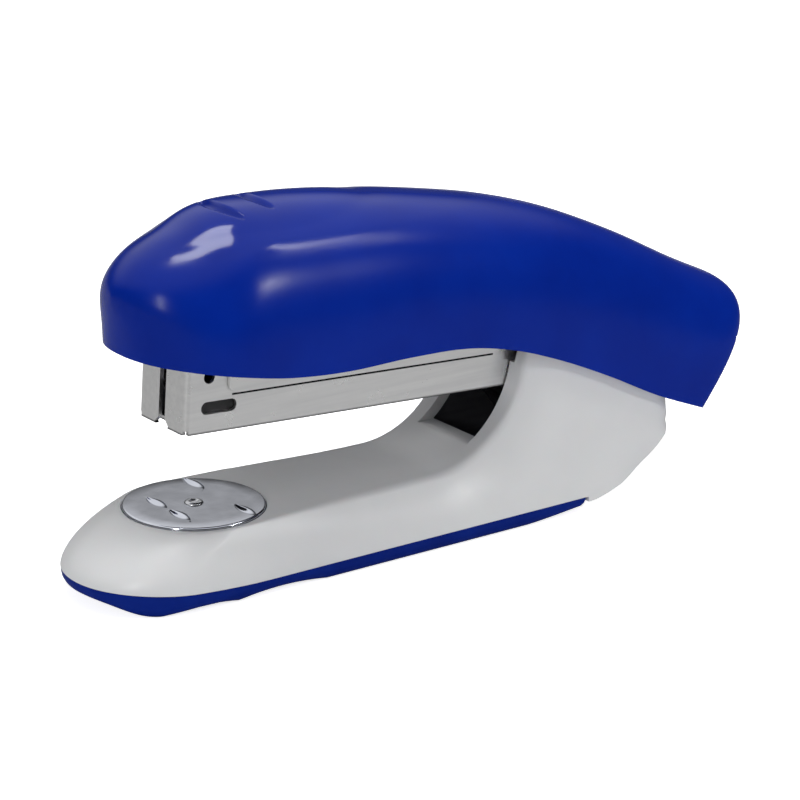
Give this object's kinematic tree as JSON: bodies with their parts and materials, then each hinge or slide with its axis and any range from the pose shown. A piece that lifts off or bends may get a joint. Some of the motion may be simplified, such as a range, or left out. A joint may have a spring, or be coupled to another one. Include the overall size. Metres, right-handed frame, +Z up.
{
  "type": "stapler",
  "caption": "Hand-operated half-strip desk stapler: pressing the padded handle drives a wire staple into a turnable anvil; the handle lifts for loading.",
  "frame": {"origin": "on the desk, below the middle of the stapler's length and width", "axes": "-X towards the nose where the staple comes out, +X towards the hinge, +Z up, Y across"},
  "size_m": [0.1466, 0.0364, 0.0685],
  "materials": {
    "grey_plastic": "satin moulded ABS, pale grey",
    "blue_rubber": "satin blue elastomer",
    "blue_gloss": "gloss moulded ABS, royal blue",
    "black_plastic": "matte moulded acetal",
    "nickel_steel": "nickel-plated sheet",
    "zinc_steel": "zinc-plated sheet",
    "black_steel": "blackened sheet",
    "screw_steel": "plated turned steel",
    "spring_steel": "oiled spring steel",
    "anvil_chrome": "bright plated"
  },
  "bodies": {
    "base": {"base_shell": "grey_plastic", "base_pad": "blue_rubber", "base_frame": "black_steel", "base_screws": "screw_steel", "hinge_pin": "screw_steel", "hinge_clips": "spring_steel", "lift_spring": "spring_steel", "spring_rivets": "zinc_steel"},
    "anvil": {"anvil_disc": "anvil_chrome", "anvil_stud": "screw_steel", "anvil_knob": "black_plastic", "anvil_spring": "spring_steel"},
    "magazine": {"magazine_channel": "nickel_steel", "magazine_frame": "nickel_steel", "channel_rivets": "screw_steel", "staple_rail": "zinc_steel", "pusher_rod": "screw_steel", "rod_stop": "zinc_steel"},
    "pusher": {"staple_pusher": "black_plastic", "pusher_spring": "spring_steel"},
    "handle": {"handle_cover": "blue_gloss", "handle_lever": "zinc_steel", "cover_screws": "screw_steel", "driver_blade": "spring_steel", "blade_rivets": "zinc_steel", "drive_spring": "spring_steel"}
  },
  "joints": [
    {"name": "anvil_turn", "type": "hinge", "parent": "base", "child": "anvil", "pos_m": [-0.0486, 0, 0.0139], "axis": [0, 0, 1], "range_deg": [0, 180]},
    {"name": "magazine_swing", "type": "hinge", "parent": "base", "child": "magazine", "pos_m": [0.0446, 0, 0.0332], "axis": [0, -1, 0], "range_deg": [0, 9], "stiffness_Nm_per_rad": 1.5, "springref_deg": -11.46, "deforming": ["lift_spring"]},
    {"name": "handle_swing", "type": "hinge", "parent": "magazine", "child": "handle", "pos_m": [0.0446, 0, 0.0332], "axis": [0, -1, 0], "range_deg": [-40, 4.6], "stiffness_Nm_per_rad": 1, "springref_deg": -1.43, "deforming": ["drive_spring"]},
    {"name": "pusher_slide", "type": "slide", "parent": "magazine", "child": "pusher", "axis": [0.9983, 0, -0.0576], "range_m": [0, 0.055], "stiffness_N_per_m": 60, "springref_m": -0.02, "deforming": ["pusher_spring"]}
  ]
}
